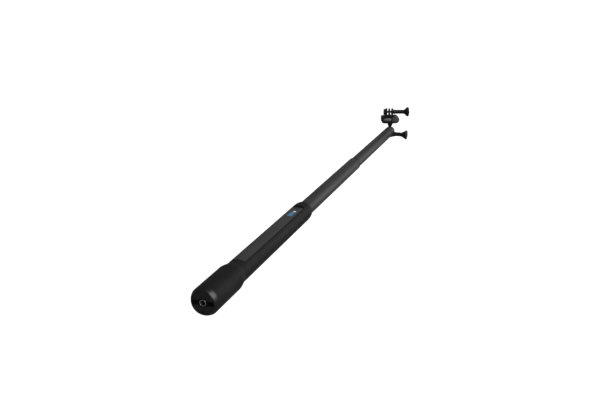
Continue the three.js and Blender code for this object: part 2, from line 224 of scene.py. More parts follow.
def revolved(name, outline, place=ALONG_Y, segments=128, change=None, sharp=SHARP_ANGLE):
    """A piece turned about its along-axis from a closed (radius, along) outline. change, where
    given, takes (angle, radius, along) and returns the radius and place that a point really has."""
    vertices = []
    rings = []
    for radius, along in outline:
        ring = []
        count = segments if radius > 1e-6 else 1
        for k in range(count):
            angle = TAU * k / segments
            r, a = change(angle, radius, along) if change else (radius, along)
            ring.append(len(vertices))
            vertices.append((r * math.sin(angle), a, r * math.cos(angle)))
        rings.append(ring)
    faces = []
    for i, ring in enumerate(rings):
        following = rings[(i + 1) % len(rings)]
        if len(ring) == 1 and len(following) == 1:
            continue
        for k in range(segments):
            n = (k + 1) % segments
            corners = [ring[k % len(ring)], ring[n % len(ring)]]
            corners += [following[n % len(following)], following[k % len(following)]]
            faces.append(list(dict.fromkeys(corners)))
    return make(name, vertices, faces, place, sharp)


def prism(name, outline, start, end, place=ALONG_Y):
    """An outline in x and y, extruded along z."""
    count = len(outline)
    vertices = [(x, y, start) for x, y in outline] + [(x, y, end) for x, y in outline]
    faces = [list(range(count))[::-1], list(range(count, 2 * count))]
    for k in range(count):
        n = (k + 1) % count
        faces.append([k, n, n + count, k + count])
    return make(name, vertices, faces, place)


def block(name, low, high, place=ALONG_Y):
    corners = [(low[0], low[1]), (high[0], low[1]), (high[0], high[1]), (low[0], high[1])]
    return prism(name, corners, low[2], high[2], place)


def rod(name, radius, start, end, place=ALONG_Y, segments=96):
    return revolved(name, [(0, start), (radius, start), (radius, end), (0, end)], place, segments)


def ball(name, radius, place, segments=96):
    outline = arc((0, 0), (radius, radius), -90, 90, segments // 2)
    outline[0] = (0, -radius)
    outline[-1] = (0, radius)
    return revolved(name, outline, place, segments)


def apply_modifiers(obj):
    bpy.context.view_layer.update()
    graph = bpy.context.evaluated_depsgraph_get()
    mesh = bpy.data.meshes.new_from_object(obj.evaluated_get(graph))
    old = obj.data
    obj.modifiers.clear()
    obj.data = mesh
    bpy.data.meshes.remove(old)


def carve(obj, *others, how="DIFFERENCE"):
    """Cuts the other solids from obj, joins them to it or keeps what they share with it, and
    removes them."""
    for other in others:
        step = obj.modifiers.new("carve", "BOOLEAN")
        step.operation = how
        step.solver = "EXACT"
        step.object = other
        apply_modifiers(obj)
        bpy.data.objects.remove(other)
    return obj


def soften(obj, width, segments=3):
    """Rounds the sharp edges."""
    step = obj.modifiers.new("soften", "BEVEL")
    step.width = width * MM
    step.segments = segments
    step.limit_method = "ANGLE"
    step.angle_limit = math.radians(SHARP_ANGLE)
    step.use_clamp_overlap = True
    apply_modifiers(obj)
    smooth(obj)
    return obj


def joined(name, objects):
    """One mesh object made of several."""
    shape = bmesh.new()
    for obj in objects:
        shape.from_mesh(obj.data)
    mesh = bpy.data.meshes.new(name)
    shape.to_mesh(mesh)
    shape.free()
    for obj in objects:
        bpy.data.objects.remove(obj)
    result = bpy.data.objects.new(name, mesh)
    bpy.context.scene.collection.objects.link(result)
    smooth(result)
    return result


def place_piece(obj, body, slot_name, material, *nodes):
    """Gives a piece its material and its body, and hides the nodes it replaces."""
    obj.data.materials.clear()
    obj.data.materials.append(material)
    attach(obj, body)
    if nodes:
        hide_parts(*nodes)
    return obj


# ---- materials ------------------------------------------------------------------------------


class Finish:
    """A procedural material: a principled shader with object coordinates in metres."""

    def __init__(self, name, metallic=0.0, specular=0.5):
        self.material = bpy.data.materials.new(name)
        self.material.use_nodes = True
        self.tree = self.material.node_tree
        self.shader = self.tree.nodes["Principled BSDF"]
        self.shader.inputs["Metallic"].default_value = metallic
        self.shader.inputs["Specular IOR Level"].default_value = specular
        self.coordinates = self.tree.nodes.new("ShaderNodeTexCoord").outputs["Object"]
        self.height = None

    def node(self, kind, inputs=(), **settings):
        made = self.tree.nodes.new(kind)
        for key, value in settings.items():
            setattr(made, key, value)
        for key, value in dict(inputs).items():
            if isinstance(value, bpy.types.NodeSocket):
                self.tree.links.new(value, made.inputs[key])
            else:
                made.inputs[key].default_value = value
        return made

    def noise(self, size, detail=3.0, stretch=(1, 1, 1)):
        """Noise whose features are about size millimetres across, longer where stretched."""
        scaled = self.node("ShaderNodeMapping", {"Vector": self.coordinates})
        scaled.inputs["Scale"].default_value = [1 / s for s in stretch]
        texture = self.node("ShaderNodeTexNoise", {
            "Vector": scaled.outputs["Vector"],
            "Scale": 1 / (size * MM),
            "Detail": detail,
            "Roughness": 0.55,
        })
        return texture.outputs["Fac"]

    def cells(self, size):
        """Rounded cells about size millimetres across."""
        texture = self.node("ShaderNodeTexVoronoi", {
            "Vector": self.coordinates, "Scale": 1 / (size * MM),
        }, feature="SMOOTH_F1")
        return texture.outputs["Distance"]

    def colour(self, factor, dark, light):
        """Base colour from dark to light, over the middle of the factor's range."""
        ramp = self.node("ShaderNodeValToRGB", {"Fac": factor})
        first, last = ramp.color_ramp.elements
        first.position = 0.35
        last.position = 0.65
        first.color = (*dark, 1)
        last.color = (*light, 1)
        self.tree.links.new(ramp.outputs["Color"], self.shader.inputs["Base Color"])

    def roughness(self, factor, low, high):
        """Roughness from low to high, over the middle of the factor's range."""
        spread = self.node("ShaderNodeMapRange", {
            "Value": factor, "From Min": 0.3, "From Max": 0.7, "To Min": low, "To Max": high,
        })
        self.tree.links.new(spread.outputs["Result"], self.shader.inputs["Roughness"])

    def bump(self, factor, depth, strength=1.0):
        """Relief of about depth millimetres. Calls add up."""
        inputs = {"Height": factor, "Distance": depth * MM, "Strength": strength}
        if self.height is not None:
            inputs["Normal"] = self.height
        relief = self.node("ShaderNodeBump", inputs)
        self.height = relief.outputs["Normal"]
        self.tree.links.new(self.height, self.shader.inputs["Normal"])


def grey(value, warm=0.0):
    return (value * (1 + warm), value, value * (1 - warm))


def soft_touch(name="soft_touch_grip", specular=0.1, roughness=(0.44, 0.58), levels=(0.0042, 0.0062)):
    """Soft-touch moulded grip: matt, with an even fine grain."""
    finish = Finish(name, specular=specular)
    patches = finish.noise(14, detail=5)
    grain = finish.cells(0.55)
    finish.colour(patches, grey(levels[0]), grey(levels[1]))
    finish.roughness(finish.noise(3, detail=4), *roughness)
    finish.bump(grain, 0.035, 0.5)
    finish.bump(finish.noise(0.25, detail=2), 0.012, 0.5)
    return finish.material


def gloss_cap(name="gloss_end_cap", specular=0.38, dark=0.003, light=0.0045):
    """Polished black disc with hairline handling marks."""
    finish = Finish(name, specular=specular)
    haze = finish.noise(6, detail=6)
    finish.colour(haze, grey(dark), grey(light))
    finish.roughness(finish.noise(1.2, detail=6), 0.07, 0.16)
    finish.bump(finish.noise(0.35, detail=2, stretch=(8, 1, 1)), 0.003, 0.35)
    return finish.material


def inlay_satin():
    """Satin panel with a fine lengthwise grain."""
    finish = Finish("satin_inlay", specular=0.35)
    grain = finish.noise(0.35, detail=3, stretch=(1, 40, 1))
    finish.colour(finish.noise(9, detail=5, stretch=(1, 4, 1)), grey(0.018), grey(0.025))
    finish.roughness(grain, 0.34, 0.5)
    finish.bump(grain, 0.008, 0.45)
    return finish.material


def anodised():
    """Satin black anodised aluminium, drawn along its length."""
    finish = Finish("anodised_tube", metallic=0.4, specular=0.2)
    drawn = finish.noise(0.3, detail=3, stretch=(1, 60, 1))
    finish.colour(finish.noise(11, detail=6, stretch=(1, 5, 1)), grey(0.024), grey(0.031))
    finish.roughness(drawn, 0.36, 0.47)
    finish.bump(drawn, 0.004, 0.4)
    finish.bump(finish.cells(0.12), 0.004, 0.3)
    return finish.material


def nylon(name="glass_filled_nylon", level=0.004):
    """Semi-gloss moulded nylon with the faint mottle of its glass fibres."""
    finish = Finish(name, specular=0.22)
    fibres = finish.noise(0.45, detail=4, stretch=(1, 3, 1))
    finish.colour(finish.noise(5, detail=5), grey(level), grey(level * 1.35))
    finish.roughness(fibres, 0.27, 0.42)
    finish.bump(fibres, 0.012, 0.5)
    finish.bump(finish.noise(2.5, detail=3), 0.02, 0.35)
    return finish.material


def seal_rubber():
    """Matt black rubber."""
    finish = Finish("seal_rubber", specular=0.25)
    finish.colour(finish.noise(2, detail=5), grey(0.008), grey(0.014))
    finish.roughness(finish.noise(0.8), 0.6, 0.8)
    finish.bump(finish.noise(0.3, detail=3), 0.02, 0.6)
    return finish.material


def acetal():
    """Off-white acetal plastic."""
    finish = Finish("natural_acetal", specular=0.5)
    finish.colour(finish.noise(4, detail=5), (0.62, 0.6, 0.55), (0.7, 0.68, 0.63))
    finish.roughness(finish.noise(1.5), 0.35, 0.5)
    finish.bump(finish.noise(0.4, detail=3), 0.01, 0.4)
    return finish.material


def turned_steel(name="turned_steel", dark=0.2, light=0.33):
    """Machined steel with fine tool marks and slight staining."""
    finish = Finish(name, metallic=1.0)
    marks = finish.noise(0.2, detail=2, stretch=(1, 1, 6))
    finish.colour(finish.noise(1.8, detail=6), grey(dark, -0.01), grey(light, -0.01))
    finish.roughness(marks, 0.24, 0.4)
    finish.bump(marks, 0.006, 0.5)
    return finish.material


def paint(name, dark, light):
    """Satin printed ink or paint; the pale one is a painted highlight."""
    finish = Finish(name, specular=0.4)
    finish.colour(finish.noise(1.5, detail=4), dark, light)
    finish.roughness(finish.noise(0.6), 0.35, 0.5)
    finish.bump(finish.noise(0.3), 0.004, 0.4)
    return finish.material


SOFT_TOUCH = soft_touch()
GLOSS = gloss_cap()
# near-black finish: a painted dark reflection on the end disc and a painted shadow at the flat's far
# end
PAINTED_REFLECTION_AND_SHADOW_BLACK = gloss_cap("painted_reflection_and_shadow_black", 0.04, 0.0008, 0.0014)
INLAY = inlay_satin()
ANODISED = anodised()
NYLON = nylon()
NYLON_DARK = nylon("matt_nylon_bush", 0.003)
# lighter nylon for the lock dial: painted light where it catches the light
DIAL_PAINTED_LIGHT_NYLON = nylon("dial_painted_light_nylon", 0.03)
# much lighter nylon for the swivel's pad: a painted highlight
PAD_PAINTED_HIGHLIGHT_NYLON = nylon("pad_painted_highlight_nylon", 0.062)
CLAMP_NYLON = nylon("grey_clamp_nylon", 0.02)
PALE_NYLON = nylon("raised_tick_nylon", 0.075)
SMOOTH_BLACK = soft_touch("smooth_black_ring", 0.25, (0.32, 0.44), (0.0035, 0.005))
RUBBER = seal_rubber()
ACETAL = acetal()
STEEL = turned_steel()
# near-black steel for the insert's thread: painted shade inside the hole
INSERT_PAINTED_SHADE_STEEL = turned_steel("insert_painted_shade_steel", 0.005, 0.009)
# very light steel for the insert's face: painted light
INSERT_FACE_PAINTED_LIGHT_STEEL = turned_steel("insert_face_painted_light_steel", 0.68, 0.8)
BLUE = paint("emblem_blue", (0.03, 0.105, 0.18), (0.04, 0.135, 0.22))
# the pale spot beyond the emblem is a painted highlight
BADGE_PAINTED_HIGHLIGHT = paint("painted_highlight_pale", (0.36, 0.38, 0.4), (0.44, 0.46, 0.48))

SLOT_MATERIALS = {
    "soft_black": SOFT_TOUCH,
    "gloss_black": GLOSS,
    "inlay_grey": INLAY,
    "anodised_tube": ANODISED,
    "nylon_black": NYLON,
    "seal_black": RUBBER,
    "acetal_white": ACETAL,
    "steel": STEEL,
    "emblem_blue": BLUE,
}


def dress_cad_nodes():
    """Every node that stays gets the material of its slot."""
    for part in frame["record"]["subparts"]:
        node = frame["nodes"][part["node"]]
        node.data.materials.clear()
        node.data.materials.append(SLOT_MATERIALS[part["material_slot"]])
        smooth(node, 30)


# ---- grip -----------------------------------------------------------------------------------


def smooth_min(a, b, width):
    """The lower of two heights, with a rounded edge where they cross."""
    share = max(0.0, min(1.0, 0.5 + 0.5 * (b - a) / width))
    return b * (1 - share) + a * share - width * share * (1 - share)


def inside_panel(x, y, half_width, start, end, corner):
    """How far a point is inside a round-cornered rectangle's edge; negative outside it."""
    across = abs(x) - (half_width - corner)
    along = abs(y - (start + end) / 2) - ((end - start) / 2 - corner)
    outside = math.hypot(max(across, 0), max(along, 0)) + min(max(across, along), 0)
    return corner - outside


def crown_height(x):
    """Height of the crowned flat at a distance from its middle line."""
    return FLAT_HEIGHT - CROWN_RADIUS + math.sqrt(CROWN_RADIUS ** 2 - x ** 2)


def flat_height(x, y):
    """Height of the grip's flat: slightly crowned inside its outline, a steep wall round it, and
    a shallow pocket for the inlay."""
    wall_slope = 2.6
    pocket_depth = 0.45
    play = 0.14
    inside = inside_panel(x, y, FLAT_HALF_WIDTH, FLAT_START, FLAT_END, FLAT_CORNER)
    height = crown_height(x) + wall_slope * max(0.0, -inside)
    pocket = inside_panel(
        x, y, INLAY_HALF_WIDTH + play, FLAT_START + FLAT_RIM - play, FLAT_END - FLAT_RIM + play,
        INLAY_CORNER,
    )
    return height - pocket_depth * max(0.0, min(1.0, pocket / 0.12))


def crowned_sheet(name, outline, bottom, top):
    """A thin sheet of the given outline that follows the crowned flat, bottom..top above it."""
    sheet = revolved(name, [
        (CROWN_RADIUS + bottom, 0), (CROWN_RADIUS + top, 0),
        (CROWN_RADIUS + top, HANDLE_TOP), (CROWN_RADIUS + bottom, HANDLE_TOP),
    ], moved(0, 0, FLAT_HEIGHT - CROWN_RADIUS), 360)
    return carve(sheet, prism("outline", outline, 5, 30), how="INTERSECT")


def spaced(start, end, step):
    """Evenly spaced values from start up to, but not including, end."""
    count = max(1, round((end - start) / step))
    return [start + (end - start) * k / count for k in range(count)]


def grip_radius_at(y):
    """Outer radius of the knob, the taper and the grip."""
    share = max(0.0, min(1.0, (y - KNOB_END) / (TAPER_END - KNOB_END)))
    eased = share * share * (3 - 2 * share)
    return KNOB_RADIUS + (GRIP_RADIUS - KNOB_RADIUS) * eased


def grip_stations():
    """Places along the grip at which its outline is drawn, close together at the flat's ends."""
    near, far = FLAT_START, FLAT_END
    stations = spaced(KNOB_BEVEL_LENGTH + 1, KNOB_END, 2.5) + spaced(KNOB_END, near - 3, 1)
    stations += spaced(near - 3, near + 6, 0.3) + spaced(near + 6, far - 6, 3)
    return stations + spaced(far - 6, far + 3, 0.3) + spaced(far + 3, GRIP_ROUND_START, 1)


def make_grip_shell():
    """The moulded grip with its knob, taper, flat and collar. A ring of points at each station
    follows the round outline or, round the top, the flat."""
    start, end = KNOB_BEVEL_LENGTH, HANDLE_TOP
    collar_bore, collar_seat = 12.75, GRIP_ROUND_START + 0.2
    outer = [(KNOB_RADIUS - 0.15, start), (KNOB_RADIUS, start + 0.15)]
    outer += [(grip_radius_at(y), y) for y in grip_stations()]
    outer += arc(
        (COLLAR_RADIUS, GRIP_ROUND_START), (GRIP_RADIUS - COLLAR_RADIUS, end - GRIP_ROUND_START),
        0, 90, 12,
    )
    inner = [
        (collar_bore, end), (collar_bore, collar_seat), (HANDLE_TUBE_SEAT, collar_seat),
        (HANDLE_TUBE_SEAT, start),
    ]
    fine, coarse = math.radians(0.8), math.radians(2.5)
    flat_span = math.radians(45)
    angles = spaced(-flat_span, flat_span, fine) + spaced(flat_span, TAU - flat_span, coarse)
    edge_rounding = 0.35
    vertices = []
    for i, (radius, y) in enumerate(outer + inner):
        for angle in angles:
            x = radius * math.sin(angle)
            z = radius * math.cos(angle)
            if i < len(outer) and abs(angle) <= flat_span:
                z = smooth_min(z, flat_height(x, y), edge_rounding)
            vertices.append((x, y, z))
    rows, columns = len(outer + inner), len(angles)
    faces = []
    for i in range(rows):
        following = (i + 1) % rows
        for k in range(columns):
            n = (k + 1) % columns
            faces.append([
                i * columns + k, i * columns + n, following * columns + n, following * columns + k,
            ])
    return make("grip_moulding", vertices, faces, ALONG_Y, sharp=50)


def make_base_ring():
    """The smooth bevelled ring at the grip's end, round the end cap."""
    length = KNOB_BEVEL_LENGTH - 0.05
    seat, seat_depth, lip = END_CAP_RADIUS + 0.15, 2.2, KNOB_LIP_RADIUS
    bevel_middle = (16.3, 3.0)
    outline = [(seat, 0.3), (seat + 0.15, 0.05), (lip - 0.15, 0), (lip, 0.05)]
    outline += curve_through((lip, 0.05), bevel_middle, (KNOB_RADIUS - 0.02, length - 0.25), 16)[1:]
    outline += [(KNOB_RADIUS - 0.2, length), (HANDLE_TUBE_SEAT, length)]
    outline += [(HANDLE_TUBE_SEAT, seat_depth), (seat, seat_depth)]
    return revolved("grip_base_ring", outline, segments=160)


def make_end_cap():
    """The flat disc at the base, with its insert hole, drain hole and channel for the painted
    reflection band.
    """
    hole, thickness = END_CAP_HOLE_RADIUS, 2
    drain_radius, drain_z = 1.1, -10.9
    disc = revolved("end_disc", rounded([
        (hole, 0, 0.25), (END_CAP_RADIUS, 0, 0.35), (END_CAP_RADIUS, thickness), (hole, thickness),
    ]), segments=160)
    drain = rod("drain", drain_radius, -1, thickness + 1, moved(0, 0, drain_z), 48)
    carve(disc, drain, make_painted_reflection_band("band_channel", 0.05, -1))
    smooth(disc)
    return disc


def make_painted_reflection_band(name, play, front):
    """The painted dark reflection band across the end disc and round its insert, grown by play."""
    reach, half_height, eye, depth = 13.1, 2.9, 5.4, 0.5
    band = block(
        name, (-reach - 1, front, -half_height - play), (reach + 1, depth, half_height + play),
    )
    carve(band, rod("eye", eye + play, front, depth, segments=72), how="UNION")
    carve(band, rod("rim", reach + play, front - 1, depth + 1, segments=160), how="INTERSECT")
    if not play:
        carve(band, rod("hole", END_CAP_HOLE_RADIUS, front - 1, depth + 1, segments=96))
    smooth(band)
    return band


def threaded(minor, major, pitch):
    """A change for revolved() that cuts a thread between two radii where the outline asks for
    the major radius and lies on the threaded stretch."""
    def change(angle, radius, along):
        if abs(radius - major) > 1e-6:
            return radius, along
        phase = (along / pitch - angle / TAU) % 1.0
        return minor + (major - minor) * abs(2 * phase - 1), along
    return change


def make_insert():
    """The threaded sleeve behind the insert's bright face; its near-black steel is painted shade
    inside the hole.
    """
    low, high = box_mm("tripod_insert")
    outer, front = high.x - 0.02, 0.05
    major, minor, pitch = 3.2, 2.6, 1.27
    thread = [(major, y) for y in spaced(high.y - 0.4, low.y + 0.7, -0.1)]
    outline = rounded([
        (major + 0.2, front, 0.1), (outer, front, 0.2), (outer, high.y), (major, high.y),
    ])
    return revolved(
        "thread_insert", outline + thread, segments=72, change=threaded(minor, major, pitch),
    )


def make_insert_face():
    """The bright ring that the insert shows in the end face; its very light steel is painted light."""
    inner, outer, thickness = 3.3, INSERT_RADIUS, 0.35
    return revolved("insert_face", rounded([
        (inner, 0, 0.05), (outer, 0, 0.1), (outer, thickness, 0.05), (inner, thickness, 0.05),
    ]), segments=96)


def build_base():
    place_piece(make_base_ring(), "handle", "soft_black", SMOOTH_BLACK)
    place_piece(make_end_cap(), "handle", "gloss_black", GLOSS, "end_cap")
    # the near-black band across the end disc is a painted dark reflection
    place_piece(make_painted_reflection_band("end_painted_reflection_band", 0, 0.06), "handle", "gloss_black", PAINTED_REFLECTION_AND_SHADOW_BLACK)
    # the insert's near-black thread is painted shade
    place_piece(make_insert(), "handle", "steel", INSERT_PAINTED_SHADE_STEEL, "tripod_insert")
    # the insert face's very light steel is painted light
    place_piece(make_insert_face(), "handle", "steel", INSERT_FACE_PAINTED_LIGHT_STEEL)


def build_inlay():
    """The panel in the flat, a painted shadow at its far end, and the emblem on it with a pale painted
    highlight beyond it.
    """
    start, end, half = FLAT_START + FLAT_RIM, FLAT_END - FLAT_RIM, INLAY_HALF_WIDTH
    outline = rounded_panel(-half, half, start, end, INLAY_CORNER)
    panel = crowned_sheet("inlay_panel", outline, -INLAY_THICKNESS, 0)
    place_piece(soften(panel, 0.12), "handle", "inlay_grey", INLAY, "grip_inlay")

    print_and_highlight_layer = (0.02, 0.16)
    badge_outline = rounded_panel(-2.8, 4.4, 278, 295.5, 1.6)
    badge = crowned_sheet("emblem_badge", badge_outline, *print_and_highlight_layer)
    place_piece(soften(badge, 0.04, 2), "handle", "emblem_blue", BLUE, "emblem")
    # a pale spot beyond the badge's far end: a painted highlight
    highlight_centre, highlight_radii, highlight_points = (1.9, 299.4), (2.4, 2.5), 48
    highlight_outline = arc(highlight_centre, highlight_radii, 0, 360 - 360 / highlight_points, highlight_points - 1)
    highlight_spot = crowned_sheet("emblem_painted_highlight", highlight_outline, *print_and_highlight_layer)
    place_piece(soften(highlight_spot, 0.04, 2), "handle", "emblem_blue", BADGE_PAINTED_HIGHLIGHT)

    # a near-black strip at the flat's far end is painted shadow under its end wall
    painted_shadow_length = 2.4
    painted_shadow_outline = rounded_panel(-half, half, end - painted_shadow_length, end, 1)
    painted_shadow = crowned_sheet("flat_end_painted_shadow", painted_shadow_outline, 0.02, 0.08)
    place_piece(painted_shadow, "handle", "gloss_black", PAINTED_REFLECTION_AND_SHADOW_BLACK)


def build_collar():
    bore = 11.6
    low, high = box_mm("collar_bush")
    bush = revolved("guide_bush", rounded([
        (bore, low.y, 0.2), (high.x, low.y, 0.3), (high.x, high.y, 0.3), (bore, high.y, 0.2),
    ]))
    place_piece(bush, "handle", "nylon_black", NYLON_DARK, "collar_bush")
    low, high = box_mm("collar_wiper")
    wiper = revolved("wiper_ring", rounded([
        (bore, low.y, 0.2), (high.x, low.y), (high.x, high.y - 0.6, 0.5),
        (12.1, high.y, 0.3), (bore, high.y - 0.9, 0.2),
    ]))
    place_piece(wiper, "handle", "seal_black", RUBBER, "collar_wiper")


def build_handle():
    place_piece(make_grip_shell(), "handle", "soft_black", SOFT_TOUCH, "grip_shell")
    build_base()
    build_inlay()
    build_collar()


# ---- telescoping sections -------------------------------------------------------------------


def make_tube(name, node, bore):
    """A plain tube over the length of its CAD node."""
    low, high = box_mm(node)
    return revolved(name, rounded([
        (bore, low.y, 0.2), (high.x, low.y, 0.25), (high.x, high.y, 0.25), (bore, high.y, 0.2),
    ]), segments=160)


def make_lower_end_ring():
    """The guide ring at the lower tube's top, with a shallow groove round it."""
    low, high = box_mm("lower_collar")
    bore, outer, groove = 10.3, high.x, high.x - 0.25
    return revolved("lower_end_ring", rounded([
        (bore, low.y, 0.2), (outer, low.y, 0.25), (outer, low.y + 0.9, 0.1),
        (groove, low.y + 1.1, 0.1), (groove, low.y + 1.5, 0.1), (outer, low.y + 1.7, 0.1),
        (outer, high.y, 1.8), (bore, high.y, 0.2),
    ], 7), segments=160)


def build_sections():
    lower = make_tube("lower_tube_shell", "lower_tube", LOWER_TUBE_BORE)
    place_piece(lower, "lower_section", "anodised_tube", ANODISED, "lower_tube")
    upper = make_tube("upper_tube_shell", "upper_tube", UPPER_TUBE_BORE)
    place_piece(upper, "upper_section", "anodised_tube", ANODISED, "upper_tube")
    ring = make_lower_end_ring()
    place_piece(ring, "lower_section", "nylon_black", NYLON_DARK, "lower_collar")


def hex_along_x(name, flats, start, end, place):
    """A hexagonal bar along x, from its width across flats."""
    return prism(name, hexagon(flats), start, end, place @ EXTRUDED_ALONG_X)


def make_head_clamp():
    """The split clamp: a plug in the tube, a round-ended body, the screw's boss, and cuts for
    the ball, the neck's swing, the slit, the bolt and the nut."""
    start, plug_start = CLAMP_START, 860
    plug_radius, radius = UPPER_TUBE_BORE - 0.15, UPPER_TUBE_RADIUS
    outline = [(0, plug_start), (plug_radius, plug_start), (plug_radius, start)]
    outline += [(radius - 0.25, start), (radius, start + 0.25)]
    outline += arc(
        (CLAMP_TIP_RADIUS, CLAMP_ROUND_START),
        (radius - CLAMP_TIP_RADIUS, CLAMP_END - CLAMP_ROUND_START), 0, 90, 14,
    )
    outline += [(0, CLAMP_END)]
    body = revolved("ball_clamp", outline, segments=128)
    screw = moved(0, CLAMP_SCREW_Y, 0)
    boss_start, boss_end, boss_root, boss_tip = 5, 12.5, 8.4, 6
    boss = revolved("boss", [
        (0, boss_start), (boss_root, boss_start), (boss_tip, boss_end), (0, boss_end),
    ], screw @ ALONG_X, 96)
    carve(body, boss, how="UNION")
    half, half_slit, groove_end = NECK_RADIUS + 0.35, 0.8, 940
    carve(
        body,
        block("slit", (-half_slit, CLAMP_SCREW_Y - 12, -20), (half_slit, CLAMP_END + 5, 20)),
        block("groove", (-half, BALL_Y - half, -half), (half, groove_end, 20)),
        ball("cavity", BALL_RADIUS + 0.3, moved(0, BALL_Y, 0)),
        rod("bolt_hole", BOLT_HOLE_RADIUS + 0.1, -20, 20, screw @ ALONG_X),
        hex_along_x("pocket", NUT_FLATS + 0.4, -14, -5.5, screw),
    )
    return soften(body, 0.4)


def make_nut(name, start, end, place):
    """A hexagonal nut along X, with its corners turned off and a countersunk bore."""
    nut = hex_along_x(name, NUT_FLATS, start, end, place)
    carve(nut, rod("bore", BOLT_HOLE_RADIUS, start - 1, end + 1, place @ ALONG_X, 72))
    return soften(nut, 0.25)


# ---- thumb screws ---------------------------------------------------------------------------


def make_thumb_knob(name, place, start, length, barrel, waist, flare_length, rim_length):
    """A moulded knob: a barrel with a slight waist, flaring to a rim with shallow scallops."""
    end = start + length
    rim_start, bore_end = end - rim_length, start + 13
    flare_start = rim_start - flare_length
    bore = BOLT_RADIUS + 0.15
    rim = THUMB_KNOB_RADIUS
    scallops, scallop_depth, hub_radius = 10, 0.75, 5.2
    mouth_length, mouth_widening = 0.3 * flare_length, 0.9
    mouth = waist + mouth_widening
    flare = [(waist, flare_start)]
    flare += [
        (waist + mouth_widening * u * u, flare_start + mouth_length * u)
        for u in (0.25, 0.5, 0.75, 1.0)
    ]
    flare += [
        (mouth + (rim - 0.5 - mouth) * u,
         flare_start + mouth_length + (flare_length - mouth_length) * u)
        for u in (0.2, 0.4, 0.6, 0.8, 1.0)
    ]
    outline = [(0, bore_end), (bore, bore_end), (bore, start + 0.2), (bore + 0.2, start)]
    outline += arc((barrel - 0.4, start + 0.4), (0.4, 0.4), -90, 0, 4)
    outline += [(barrel, start + 1.5)]
    outline += [
        (barrel + (waist - barrel) * (3 * u * u - 2 * u ** 3), start + 1.5 + 5.5 * u)
        for u in [k / 8 for k in range(1, 9)]
    ]
    outline += flare
    outline += [(rim - 0.1, rim_start + 0.4), (rim, rim_start + 0.9), (rim, end - 2.8)]
    outline += arc((rim - 1.4, end - 2.8), (1.4, 1.3), 15, 80, 6)
    outline += [(5.6, end - 0.95), (5.0, end - 1.1), (4.6, end - 0.8), (2.5, end - 0.25), (0, end)]

    def scalloped(angle, radius, along):
        share = max(0.0, min(1.0, (radius - hub_radius) / (rim - hub_radius)))
        wave = max(0.0, math.cos(scallops * angle)) ** 0.7
        return radius - scallop_depth * share * wave, along

    return revolved(name, outline, place @ ALONG_X, 200, scalloped)


def make_bolt(name, place, start, end):
    """A bolt with a metric thread over its whole length and a chamfered tip."""
    tip_radius, thread_depth = 1.7, 0.42
    thread = [(BOLT_RADIUS, x) for x in spaced(start + 0.6, end, 0.1)]
    outline = [(0, start), (tip_radius, start)] + thread + [(BOLT_RADIUS - 0.3, end), (0, end)]
    change = threaded(BOLT_RADIUS - thread_depth, BOLT_RADIUS, M5_PITCH)
    return revolved(name, outline, place @ ALONG_X, 48, change, sharp=60)


def build_thumb_screw(prefix, body, place, bolt_start, start, **knob_sizes):
    """A knob from start outwards along x, and its bolt from bolt_start to inside the knob."""
    knob = make_thumb_knob(f"{prefix}_thumb_knob", place, start, **knob_sizes)
    place_piece(knob, body, "nylon_black", NYLON, f"{prefix}_knob")
    bolt = make_bolt(f"{prefix}_threaded_bolt", place, bolt_start, start + 12.6)
    place_piece(bolt, body, "steel", STEEL, f"{prefix}_bolt")


# ---- head -----------------------------------------------------------------------------------


def make_ball_stud():
    """The ball, its widening neck and the spigot that the swivel turns on."""
    neck_angle = math.degrees(math.asin(NECK_RADIUS / BALL_RADIUS))
    outline = arc((0, 0), (BALL_RADIUS, BALL_RADIUS), -90, 90 - neck_angle, 40)
    outline[0] = (0, -BALL_RADIUS)
    top, spigot, screw_hole, hole_end = BLOCK_BOTTOM - 0.4, 3.5, 1.35, 19
    outline += [(NECK_RADIUS, 10.7), (3.45, 11.2), (4.0, 11.9), (4.6, 12.7), (4.95, 13.6)]
    outline += [(5.2, 14.8), (5.45, 16.4), (5.6, top - 0.2), (5.4, top), (spigot, top)]
    outline += [(spigot, SPIGOT_TOP), (screw_hole, SPIGOT_TOP), (screw_hole, hole_end), (0, hole_end)]
    return revolved("ball_and_neck", outline, HEAD @ ALONG_Z, 96)


def at_dial(name, radius, start, end):
    """A rod on the lock dial's axis."""
    return rod(name, radius, start, end, HEAD @ moved(DIAL_X, 0, DIAL_Z))


def make_swivel_block():
    """The wide block with its lobe round the dial, and bores for the dial and the spigot."""
    left, right = -19.3, 13
    corners = [
        (left, BLOCK_BOTTOM, 5.5), (right, BLOCK_BOTTOM, 5.5),
        (right, BLOCK_TOP, 3), (left, BLOCK_TOP, 3),
    ]
    upright = HEAD @ ALONG_Z
    body = prism("swivel_body", rounded(corners, 10), -BLOCK_HALF_DEPTH, BLOCK_HALF_DEPTH, upright)
    lobe = at_dial("lobe", DIAL_RADIUS - 0.4, DIAL_SEAT_Y, BLOCK_HALF_DEPTH)
    carve(body, lobe, how="UNION")
    carve(
        body,
        at_dial("recess", DIAL_RADIUS + 0.4, -20, DIAL_SEAT_Y),
        at_dial("shaft_bore", 2.05, -20, 5.5),
        rod("spigot_bore", 3.75, 0, 30, HEAD @ ALONG_Z),
        rod("chamber", 4.4, SPIGOT_TOP + 0.2, 40, HEAD @ ALONG_Z),
    )
    return soften(body, 0.9, 4)


